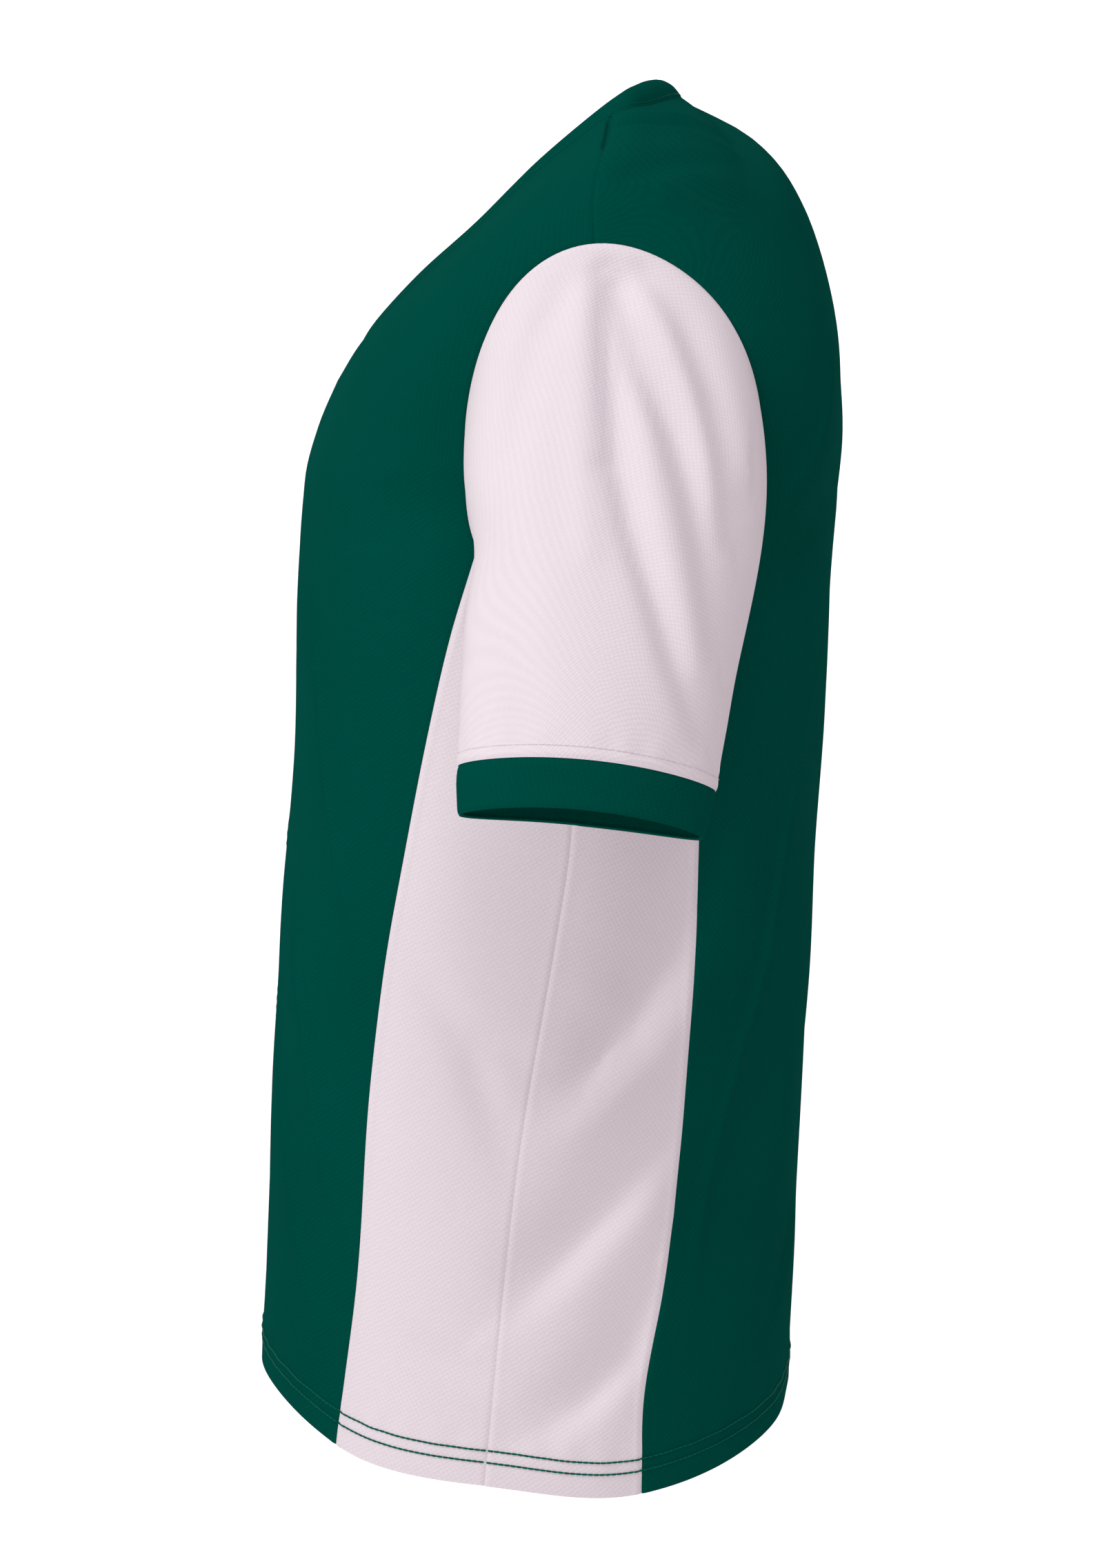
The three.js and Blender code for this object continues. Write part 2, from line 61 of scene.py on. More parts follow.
# Centre lines, by height: z, y
CENTRE_FRONT = [(-680, -187.5), (-580, -185), (-457, -179.5), (-335, -169.5), (-244, -168), (-183, -164),
                (-155, -155), (-128.5, -142.5)]
CENTRE_BACK = [(-690, 100.5), (-600, 103.5), (-487, 110), (-365, 115.3), (-244, 122.8), (-153, 127.3),
               (-92, 117.5), (-50, 106), (-23, 94.5), (5, 71), (20, 42.5)]

# Half width of the torso and how square its outline is, by height: z, half, power
TORSO_SIDE = [(-710, 188, 2.35), (-580, 190, 2.4), (-457, 192, 2.45), (-335, 193, 2.5), (-230, 193, 2.6),
              (-150, 195, 2.6)]

# Seams of the side inserts, by height: z, y
FRONT_SEAM = [(-700, -141), (-610, -130), (-497, -121), (-440, -114.5), (-384, -104), (-328, -93),
              (-273, -80), (-229, -67)]
SIDE_SEAM = [(-706, -63.5), (-620, -55), (-528, -44.5), (-421, -26), (-371, -19), (-246, -14)]
REAR_SEAM = [(-706, 16.5), (-660, 18), (-606, 27.5), (-551, 35.5), (-495, 40.5), (-384, 46), (-244, 48)]

HEM = {"front": -661, "front_seam": -688, "side_seam": -702, "rear_seam": -708, "back": -677}
HEM_FALL = {"front_seam": 0.32, "side_seam": 0.1, "rear_seam": -0.12}
UNDERARM = {"front": -206, "back": -222}

ARMHOLE = {"y": 2, "z": -175, "half_depth": 74, "rise": 97, "drop": 71, "power_above": 2, "power_below": 4,
           "lean": 10}
ARMHOLE_X = {"top": 212, "slope": 0.14, "blend_from": -246, "blend_to": -120}
ANGLES = {"shoulder": 95.6, "front_seam": 218.6, "side_seam": 257.3, "rear_seam": 303.7}

# Neckline and free edge of the neckband, with the V at 0, the shoulder at 1 and the back at 2:
# t, x, y, z, edge x, edge y, edge z
NECK = [
    (0.0, 0, -142.5, -128.5, 0, -127, -107),
    (0.2, 21, -126.5, -106, 9, -120, -97),
    (0.4, 43, -102, -82.5, 29, -96, -73.5),
    (0.6, 63, -71, -57, 48, -66, -49),
    (0.8, 80, -36, -27, 65, -34, -18),
    (1.0, 90, 1.5, 0, 75, 0.5, 10),
    (1.35, 75, 23, 8, 63, 16.5, 21),
    (1.7, 38, 38, 17, 32, 26.5, 27.8),
    (2.0, 0, 42.5, 20, 0, 29.5, 31),
    (2.3, -38, 38, 17, -32, 26.5, 27.8),
]

# How the upper rows leave the centre, and how far their ends reach: t, x, y, z, lead, tail
FRONT_ROWS = [
    (0.0, 1, 0, 0, 0.4, 0.4),
    (0.25, 0.98, -0.08, -0.1, 0.42, 0.34),
    (0.6, 0.93, -0.15, -0.33, 0.52, 0.28),
    (1.0, 0.95, -0.03, -0.31, 0.76, 0.26),
]
BACK_ROWS = [
    (0.0, 1, 0, 0, 0.4, 0.4),
    (0.5, 1, 0, 0, 0.44, 0.3),
    (0.75, 0.9, 0.26, -0.3, 0.42, 0.27),
    (0.88, 0.93, 0.12, -0.3, 0.56, 0.26),
    (1.0, 0.95, -0.03, -0.31, 0.76, 0.26),
]
LOWER_REACH = 0.4
SIDE_REACH = 0.34

SLEEVE_END = {"x": 286, "y": -12, "z": -339, "half_x": 36, "half_y": 62, "arch": 4.5}
SLEEVE_AXIS = np.array([0.17, -0.1, -0.98]) / np.linalg.norm([0.17, -0.1, -0.98])
SLEEVE_SPREAD = {"front": 0.06, "rear": 0.16}
CUFF = {"height": 23.5, "half_x": 33, "half_y": 58.5}
MIRROR = {1: np.array([1, 1, 1]), -1: np.array([-1, 1, 1])}
SLEEVE_TUCK = {"z": -230, "spread": 26, "amount": 6}
ROUND = np.linspace(-90, 270, 141)
BAND_BULGE = 1.8
SHOULDER_CREASE = 2.4
UPWARD = np.array([0.25, 0.1, 0.96])

# A fold leans when it is deeper than DEEP; its depth fades to a share at the ends of its path
DEEP = 3.5
BODY_LEAN = -0.35
SLEEVE_LEAN = 0.4
END_SHARE = {"body": 0.3, "ridge": 0, "sleeve": 0.7}

# Folds of the body: side of the wearer (0 for both), view, reach, depth (negative for a ridge), path.
# A side view path is read as (y, z), a front or back view as (x, z), a top view as (x, y).
BODY_FOLDS = [
    (1, "side", 27, 11, [(54, -310), (48, -380), (34, -428), (12, -464)]),
    (1, "side", 12, 4, [(39, -420), (8, -472), (-10, -491), (-28, -503)]),
    (1, "side", 11, -3.4, [(46, -456), (24, -488), (-6, -514), (-30, -526)]),
    (1, "side", 16, 8.5, [(39, -510), (4, -556), (-28, -591), (-52, -614)]),
    (1, "side", 14, 7, [(22, -598), (8, -637), (-14, -660), (-40, -676)]),
    (1, "side", 10, 2.6, [(-106, -430), (-70, -482), (-52, -538)]),
    (1, "side", 8, 1.8, [(-73, -469), (-38, -485)]),
    (1, "side", 8, 1.8, [(-105, -627), (-61, -650)]),
    (1, "back", 24, 8, [(120, -206), (157, -257), (170, -314)]),
    (1, "back", 22, 7, [(116, -433), (139, -522), (160, -572)]),
    (1, "back", 2.6, -3.2, [(90, -268), (117, -316), (134, -377), (140, -437), (153, -483), (166, -581),
                            (168, -634)]),
    (1, "back", 2.6, -3.2, [(72, -566), (92, -604), (120, -646)]),
    (1, "back", 2.6, -3.2, [(150, -110), (163, -150), (166, -200), (158, -252)]),
    (1, "front", 2.6, -3.4, [(81, -216), (112, -250), (127, -305), (141, -362), (156, -420), (164, -473)]),
    (1, "front", 2.6, -3.4, [(52, -367), (110, -415), (134, -486), (149, -556), (157, -591)]),
    (1, "front", 2.6, -3.4, [(72, -418), (97, -490), (120, -556), (137, -614), (150, -666)]),
    (1, "front", 26, 4, [(168, -190), (172, -230)]),
    (1, "top", 6, -2.4, [(108, 4), (103, 28), (93, 54)]),
    (1, "top", 7, 4.2, [(122, 4), (117, 30), (106, 58)]),
    (1, "top", 6, -2.4, [(138, 2), (133, 32), (121, 62)]),
    (1, "top", 8, 2.6, [(202, -4), (182, 24), (146, 60)]),
    (1, "top", 8, -1.8, [(212, -4), (194, 24), (164, 66)]),
    (-1, "side", 25, 9, [(50, -330), (44, -386), (30, -432), (10, -464)]),
    (-1, "side", 12, 4, [(42, -412), (14, -452), (-12, -484), (-36, -497)]),
    (-1, "side", 15, 8, [(36, -528), (0, -570), (-36, -606)]),
    (-1, "side", 13, 6, [(30, -622), (2, -652), (-30, -672)]),
    (-1, "side", 10, 2.4, [(-98, -446), (-66, -500), (-50, -548)]),
    (-1, "back", 24, 7.4, [(112, -214), (150, -270), (168, -330)]),
    (-1, "back", 22, 6.4, [(104, -448), (132, -530), (156, -590)]),
    (-1, "back", 2.6, -3.2, [(84, -280), (112, -340), (130, -410), (146, -490), (160, -590)]),
    (-1, "front", 2.6, -3.4, [(72, -228), (104, -268), (124, -330), (140, -392), (158, -462)]),
    (-1, "front", 2.6, -3.4, [(60, -402), (100, -462), (128, -540), (148, -610)]),
    (-1, "front", 26, 4, [(166, -196), (171, -236)]),
    (-1, "top", 7, 3.8, [(119, 6), (112, 34), (100, 58)]),
    (-1, "top", 8, 2.6, [(200, 0), (178, 28), (140, 64)]),
    (-1, "top", 8, -1.8, [(211, 0), (192, 26), (160, 66)]),
    (0, "front", 16, 2.6, [(16, -150), (38, -210), (52, -290)]),
    (0, "front", 18, 2.2, [(30, -430), (44, -520), (40, -610)]),
    (0, "back", 20, 3, [(40, -130), (58, -200), (50, -290)]),
    (0, "back", 20, 2.6, [(24, -380), (44, -470), (60, -560)]),
]

# Folds of the sleeves: side, reach, depth, path as (y, z), read from the side of the wearer
SLEEVE_FOLDS = [
    (1, 9, 2.6, [(-8, -84), (-22, -104), (-36, -126), (-44, -163), (-50, -190)]),
    (1, 9, 5.5, [(-3, -92), (-1, -133), (2, -184), (8, -218), (19, -252), (29, -286), (42, -320)]),
    (1, 8.5, 5.5, [(4, -100), (14, -140), (27, -170), (36, -200), (43, -236), (50, -280)]),
    (1, 8, 4.5, [(16, -90), (34, -118), (46, -150), (54, -184), (58, -226)]),
    (1, 4.5, 1.6, [(-6, -188), (0, -190)]),
    (1, 8, -2.2, [(-14, -90), (-14, -130), (-15, -180), (-12, -230)]),
    (1, 8, -2, [(8, -120), (14, -160), (20, -200), (30, -246), (40, -286)]),
    (1, 7, -1.6, [(22, -104), (34, -132), (44, -164), (50, -204)]),
    (1, 24, 8, [(68, -210), (66, -262), (60, -330)]),
    (1, 12, 2, [(-60, -230), (-48, -280), (-40, -318)]),
    (-1, 9, 2.6, [(-10, -88), (-26, -110), (-40, -138), (-48, -180)]),
    (-1, 9, 5.5, [(-2, -94), (1, -140), (6, -190), (13, -226), (24, -268), (38, -314)]),
    (-1, 8.5, 5.2, [(7, -102), (18, -142), (31, -178), (40, -212), (47, -262)]),
    (-1, 8, 4, [(19, -92), (37, -124), (49, -160), (57, -210)]),
    (-1, 8, -2, [(10, -124), (17, -166), (24, -210), (36, -262)]),
    (-1, 23, 7.4, [(68, -216), (65, -264), (59, -326)]),
    (-1, 12, 2, [(-62, -222), (-50, -270), (-40, -312)]),
]


def smooth(start, end, value):
    t = np.clip((np.asarray(value, float) - start) / (end - start), 0, 1)
    return t * t * (3 - 2 * t)


def mix(a, b, t):
    return a + (b - a) * t


def unit(vector):
    return vector / np.linalg.norm(vector, axis=-1, keepdims=True)


def read(table, station):
    """The table's other columns at a station of its first column, on a smooth curve through its rows."""
    rows = np.array(table, float)
    keys, values = rows[:, 0], rows[:, 1:]
    at = min(max(station, keys[0]), keys[-1])
    k = int(np.clip(np.searchsorted(keys, at) - 1, 0, len(keys) - 2))
    low, high = max(k - 1, 0), min(k + 2, len(keys) - 1)
    slope_a = (values[k + 1] - values[low]) / (keys[k + 1] - keys[low])
    slope_b = (values[high] - values[k]) / (keys[high] - keys[k])
    span = keys[k + 1] - keys[k]
    t = (at - keys[k]) / span
    start = (1 + 2 * t) * (1 - t) ** 2 * values[k] + t * (1 - t) ** 2 * span * slope_a
    end = t * t * (3 - 2 * t) * values[k + 1] + t * t * (t - 1) * span * slope_b
    return start + end


def torso_depth(z):
    """Centre and half depth of the torso outline at a height."""
    front = read(CENTRE_FRONT, z)[0]
    back = read(CENTRE_BACK, min(z, -120))[0]
    return (front + back) / 2, (back - front) / 2


def side_x(y, z):
    centre, depth = torso_depth(z)
    half, power = read(TORSO_SIDE, z)
    share = min(abs((y - centre) / depth), 1)
    torso = half * (1 - share ** power) ** (1 / power)
    shoulder = ARMHOLE_X["top"] + ARMHOLE_X["slope"] * (z - ARMHOLE["z"] - ARMHOLE["rise"])
    return mix(torso, shoulder, float(smooth(ARMHOLE_X["blend_from"], ARMHOLE_X["blend_to"], z)))


def side_heading(y, z):
    return unit(np.array([side_x(y + 2, z) - side_x(y - 2, z), 4, 0]))


def armhole_point(angle):
    """Point of the armhole: 0 at the rear, 90 at the top, 180 at the front, 270 at the underarm."""
    across, up = math.cos(math.radians(angle)), math.sin(math.radians(angle))
    height = ARMHOLE["rise"] if up > 0 else ARMHOLE["drop"]
    power = ARMHOLE["power_above"] if up > 0 else ARMHOLE["power_below"]
    size = abs(across / ARMHOLE["half_depth"]) ** power + abs(up / height) ** power
    radius = size ** (-1 / power)
    y = ARMHOLE["y"] + radius * across
    lean = ARMHOLE["lean"] * across * max(up, 0) ** (6 if across > 0 else 2)
    z = ARMHOLE["z"] + radius * up - lean
    return np.array([side_x(y, z), y, z])


def curve(a, b, c, d, t):
    t = np.asarray(t)[:, None]
    return a * (1 - t) ** 3 + b * 3 * t * (1 - t) ** 2 + c * 3 * t * t * (1 - t) + d * t ** 3


def row_curve(start, leaving, lead, end, arriving, tail, t):
    chord = np.linalg.norm(end - start)
    return curve(start, start + leaving * lead * chord, end - arriving * tail * chord, end, t)


def stations(length, step, start_edge=True, end_edge=True):
    """Distances along a length, closer together near the edges that carry a seam."""
    edge = [0, 0.7, 1.5, 2.4, 3.4, 5]
    low = edge if start_edge else [0]
    high = [length - d for d in reversed(edge)] if end_edge else [length]
    count = max(2, round((high[0] - low[-1]) / step))
    middle = np.linspace(low[-1], high[0], count + 1)[1:-1]
    return np.concatenate([low, middle, high])


def along(points, wanted):
    """Points at the wanted distances along a polyline, the distances scaled to its own length."""
    steps = np.linalg.norm(np.diff(points, axis=0), axis=1)
    run = np.concatenate([[0], np.cumsum(steps)])
    at = wanted * run[-1] / wanted[-1]
    return np.stack([np.interp(at, run, points[:, k]) for k in range(3)], axis=1)


def path_distance(a, b, path):
    """Distance from a path, share of the way along it, and side: 1 to the left of its heading, or -1."""
    best = np.full(a.shape, np.inf)
    where, side = np.zeros(a.shape), np.zeros(a.shape)
    for k, ((a0, b0), (a1, b1)) in enumerate(zip(path, path[1:])):
        size = (a1 - a0) ** 2 + (b1 - b0) ** 2
        t = np.clip(((a - a0) * (a1 - a0) + (b - b0) * (b1 - b0)) / size, 0, 1)
        distance = np.hypot(a - a0 - t * (a1 - a0), b - b0 - t * (b1 - b0))
        nearer = distance < best
        best = np.where(nearer, distance, best)
        where = np.where(nearer, (k + t) / (len(path) - 1), where)
        side = np.where(nearer, np.sign((a1 - a0) * (b - b0) - (b1 - b0) * (a - a0)), side)
    return best, where, side


def trough(a, b, reach, depth, path, lean=0, ends=END_SHARE["body"]):
    """A valley along a path; lean makes its slope to the left of the path longer and the other shorter."""
    distance, where, side = path_distance(a, b, path)
    fade = ends + (1 - ends) * np.sin(math.pi * where)
    return depth * fade * np.exp(-((distance / (reach * (1 + lean * side))) ** 2))


def ripple(points, size):
    """A slow unevenness that no hung cloth is without."""
    x, y, z = (points[..., k] / size for k in range(3))
    first = np.sin(1.7 * x + 0.9 * z + 1.3 * np.sin(0.8 * z + 0.5 * y))
    second = np.sin(2.3 * z - 1.1 * x + 1.9 * y + 0.7 * np.sin(1.4 * x))
    return 0.5 * (first + second)


def fold_body(points, side):
    """Presses folds into body points given for the wearer's left; side tells which set is used."""
    x, y, z = points[..., 0], points[..., 1], points[..., 2]
    centre, depth = np.vectorize(lambda height: torso_depth(height))(z)
    outward = unit(np.stack([x / 193 ** 2, (y - centre) / depth ** 2, np.zeros_like(x)], axis=-1))
    charts = {
        "back": (x, z, smooth(8, 40, y) * smooth(-60, -110, z)),
        "front": (x, z, smooth(-60, -85, y) * smooth(-110, -160, z)),
    }
    pressed = 1.0 * ripple(points * [1, 1, 0.6], 34) * smooth(20, 60, np.abs(x)) * smooth(-40, -140, z)
    lifted, inward = np.zeros_like(x), np.zeros_like(x)
    for fold_side, view, reach, amount, path in BODY_FOLDS:
        if fold_side == -side:
            continue
        if view == "top":
            lifted += trough(x, y, reach, amount, path) * smooth(-4, 12, y) * smooth(-75, -50, z)
        elif view == "side":
            lean = BODY_LEAN if amount > DEEP else 0
            inward += trough(y, z, reach, amount, path, lean) * smooth(140, 175, x)
        else:
            a, b, weight = charts[view]
            ends = END_SHARE["ridge" if amount < 0 else "body"]
            pressed = pressed + trough(a, b, reach, amount, path, 0, ends) * weight
    points = points - outward * pressed[..., None] - UPWARD * lifted[..., None]
    return points - np.array([1, 0, 0]) * inward[..., None]


def grid_frame(grid):
    """Distances along the columns (from the first row) and along the rows (from the first column)."""
    down = np.linalg.norm(np.diff(grid, axis=0), axis=-1)
    across = np.linalg.norm(np.diff(grid, axis=1), axis=-1)
    from_first_row = np.vstack([np.zeros((1, grid.shape[1])), np.cumsum(down, axis=0)])
    from_first_column = np.hstack([np.zeros((grid.shape[0], 1)), np.cumsum(across, axis=1)])
    return from_first_row, from_first_column


def bell(distance, centre, width, height):
    return height * np.exp(-(((distance - centre) / width) ** 2))


def seam_dip(distance, dip=0.45, puff=0.12):
    """Cloth turns in at a seam, with a low swelling beside it."""
    return bell(distance, 2.8, 1.2, puff) - bell(distance, 0, 0.9, dip)


def hem_form(distance, around):
    """A turned-up hem: a double layer, drawn in along both rows of stitches."""
    amount = 0.35 * smooth(HEM_WIDTH + 1, HEM_WIDTH - 1, distance)
    for height in HEM_STITCHES:
        amount -= bell(distance, height, 1.2, 0.38) * (1 + 0.35 * np.sin(around / 2.1))
    pucker = np.sin(around / 3.4 + 1.5 * np.sin(around / 19)) * bell(distance, 21, 6, 0.35)
    return amount + pucker + 0.6 * np.sin(around / 31 + 0.8) * smooth(26, 0, distance)


def hem_wall(distance):
    return KNIT + 0.7 * smooth(HEM_WIDTH + 0.5, HEM_WIDTH - 0.5, distance)


# Rows at which the body is cut: shares of the lower part, then of the upper part
LOWER_SHARES = stations(470, ROW_STEP, True, False) / 470
UPPER_SHARES = stations(250, ROW_STEP, False, True)[1:] / 250
V_ROW = len(LOWER_SHARES) + int(np.argmin(abs(UPPER_SHARES - V_SHARE)))
BACK_ROW = len(LOWER_SHARES) + int(np.argmin(abs(UPPER_SHARES - BACK_NECK_SHARE)))
V_SHIFT = V_SHARE - UPPER_SHARES[V_ROW - len(LOWER_SHARES)]
UPPER_FRONT = UPPER_SHARES + V_SHIFT * np.sin(math.pi * UPPER_SHARES)
UPPER_BACK = UPPER_SHARES.copy()
UPPER_BACK[BACK_ROW - len(LOWER_SHARES)] = BACK_NECK_SHARE


def centre_line(table, hem, top, share):
    z = mix(hem, top, share)
    return np.array([0, read(table, z)[0], z]), np.array([1.0, 0, 0])


def seam_line(table, seam, share):
    """Point of a side seam and the direction of the row that crosses it there, toward the back."""
    top = armhole_point(ANGLES[seam])
    z = mix(HEM[seam], top[2], share)
    y = read(table, z)[0]
    point = np.array([side_x(y, z), y, z]) if share < 1 else top
    heading = side_heading(point[1], point[2])
    return point, heading + np.array([0, 0, -HEM_FALL[seam] * (1 - share) ** 6])


def neck_point(t):
    return read(NECK, t)[:3]


def neck_edge(t):
    return read(NECK, t)[3:]


def front_start(t):
    if t > V_SHARE:
        return neck_point((t - V_SHARE) / (1 - V_SHARE))
    z = mix(UNDERARM["front"], NECK[0][3], t / V_SHARE)
    return np.array([0, read(CENTRE_FRONT, z)[0], z])


def back_start(t):
    if t > BACK_NECK_SHARE:
        return neck_point(2 - (t - BACK_NECK_SHARE) / (1 - BACK_NECK_SHARE))
    z = mix(UNDERARM["back"], 20, 1 - (1 - t / BACK_NECK_SHARE) ** 1.3)
    return np.array([0, read(CENTRE_BACK, z)[0], z])


def armhole_heading(angle, from_back):
    point = armhole_point(angle)
    low = side_heading(point[1], point[2]) * (-1 if from_back else 1)
    inward = unit(np.array([0.2, -math.cos(math.radians(angle)), -math.sin(math.radians(angle))]))
    height = angle if from_back else 180 - angle
    return unit(mix(low, inward, float(smooth(-45, 25, height))))


def panel_grid(from_back):
    """Half of the front or back panel, on the wearer's left: rows from the hem to the shoulder seam."""
    name = "back" if from_back else "front"
    table = CENTRE_BACK if from_back else CENTRE_FRONT
    seam, seam_table = ("rear_seam", REAR_SEAM) if from_back else ("front_seam", FRONT_SEAM)
    dense = np.linspace(0, 1, 240)
    wanted = stations(200, COLUMN_STEP)
    rows = []
    for share in LOWER_SHARES:
        start, leaving = centre_line(table, HEM[name], UNDERARM[name], share)
        end, arriving = seam_line(seam_table, seam, share)
        arriving = -arriving if from_back else arriving
        rows.append(along(row_curve(start, leaving, LOWER_REACH, end, arriving, LOWER_REACH, dense), wanted))
    lowest = ANGLES[seam] - 360 if from_back else ANGLES[seam]
    for t in UPPER_BACK if from_back else UPPER_FRONT:
        *leaving, lead, tail = read(BACK_ROWS if from_back else FRONT_ROWS, t)
        start = back_start(t) if from_back else front_start(t)
        angle = mix(lowest, ANGLES["shoulder"], t)
        end, arriving = armhole_point(angle), armhole_heading(angle, from_back)
        leaving = unit(np.array(leaving))
        rows.append(along(row_curve(start, leaving, lead, end, arriving, tail, dense), wanted))
    return np.array(rows)


def insert_grid(first, second, tables):
    """A side insert on the wearer's left; its upper rows run over into the underarm of the armhole."""
    dense = np.linspace(0, 1, 120)
    wanted = stations(62, COLUMN_STEP)
    top = np.array([armhole_point(a) for a in np.linspace(ANGLES[first], ANGLES[second], len(dense))])
    highest = seam_line(tables[0], first, 1), seam_line(tables[1], second, 1)
    straight = row_curve(*highest[0], SIDE_REACH, *highest[1], SIDE_REACH, dense)
    rows = []
    for share in stations(470, ROW_STEP) / 470:
        start, leaving = seam_line(tables[0], first, share)
        end, arriving = seam_line(tables[1], second, share)
        row = row_curve(start, leaving, SIDE_REACH, end, arriving, SIDE_REACH, dense)
        weight = smooth(0.72, 1, share) ** 1.5
        rows.append(along(row + weight * (top - straight), wanted))
    return np.array(rows)


def sleeve_ring(angle, below, half_x, half_y):
    across = unit(np.array([0, 1, 0]) - SLEEVE_AXIS * SLEEVE_AXIS[1])
    outward = unit(np.array([1, 0, 0]) - SLEEVE_AXIS * SLEEVE_AXIS[0])
    drop = below - SLEEVE_END["arch"] * math.sin(math.radians(angle)) ** 2
    centre = np.array([SLEEVE_END["x"], SLEEVE_END["y"], SLEEVE_END["z"]]) + SLEEVE_AXIS * drop
    return (centre + across * half_y * math.cos(math.radians(angle))
            + outward * half_x * math.sin(math.radians(angle)))


def sleeve_grid(side):
    """Sleeve of the wearer's left: rows from the armhole to the cuff seam, columns once round."""
    dense = np.linspace(0, 1, 200)
    wanted = stations(250, 3.2)
    lines = []
    for angle in ROUND:
        up, across = math.sin(math.radians(angle)), math.cos(math.radians(angle))
        start = armhole_point(angle)
        end = sleeve_ring(angle, 0, SLEEVE_END["half_x"], SLEEVE_END["half_y"])
        chord = np.linalg.norm(end - start)
        sideways = SLEEVE_SPREAD["rear" if across > 0 else "front"] * across
        leaving = unit(np.array([0.6 - 0.25 * up, sideways, -0.72 - 0.22 * up]))
        lead = start + leaving * mix(0.2, 0.38, (1 + up) / 2) * chord
        tail = end - SLEEVE_AXIS * 0.3 * chord
        lines.append(along(curve(start, lead, tail, end, dense), wanted))
    grid = np.array(lines).transpose(1, 0, 2)
    share = (wanted / wanted[-1])[:, None]
    up, across = np.sin(np.radians(ROUND))[None, :], np.cos(np.radians(ROUND))[None, :]
    pressed = np.zeros(grid.shape[:2])
    for fold_side, reach, amount, path in SLEEVE_FOLDS:
        if fold_side == side:
            lean = SLEEVE_LEAN if amount > DEEP else 0
            pressed += trough(grid[..., 1], grid[..., 2], reach, amount, path, lean, END_SHARE["sleeve"])
    outer = smooth(-0.35, 0.35, up)
    ends = smooth(0, 0.07, share) * smooth(1, 0.93, share)
    inner = 2.2 * np.sin(np.radians(ROUND) * 5 + 6 * share + side) * (1 - outer)
    grid[..., 0] -= (pressed * outer * smooth(0, 0.06, share)) * smooth(1, 0.92, share)
    grid[..., 0] -= inner * ends * smooth(0, 0.4, share)
    tuck = bell(grid[..., 2], SLEEVE_TUCK["z"], SLEEVE_TUCK["spread"], SLEEVE_TUCK["amount"])
    grid[..., 1] += tuck * smooth(-0.2, -0.9, across) * smooth(0, 0.1, share)
    return grid


def cuff_grid():
    rows = []
    for below in stations(CUFF["height"], 3):
        t = below / CUFF["height"]
        half_x = mix(SLEEVE_END["half_x"], CUFF["half_x"], t)
        half_y = mix(SLEEVE_END["half_y"], CUFF["half_y"], t)
        rows.append([sleeve_ring(angle, below, half_x, half_y) for angle in ROUND])
    return np.array(rows)


def band_grid():
    """Neckband once round, starting at the V, up the wearer's left, rows from the seam to the free edge."""
    ts = np.concatenate([np.linspace(0, 1, 61)[:-1], np.linspace(1, 2, 31)])
    seam = np.array([neck_point(t) for t in ts])
    edge = np.array([neck_edge(t) for t in ts])
    seam = np.concatenate([seam, seam[-2::-1] * MIRROR[-1]])
    edge = np.concatenate([edge, edge[-2::-1] * MIRROR[-1]])
    shares = stations(17, 2.4) / 17
    return seam[None] * (1 - shares[:, None, None]) + edge[None] * shares[:, None, None]


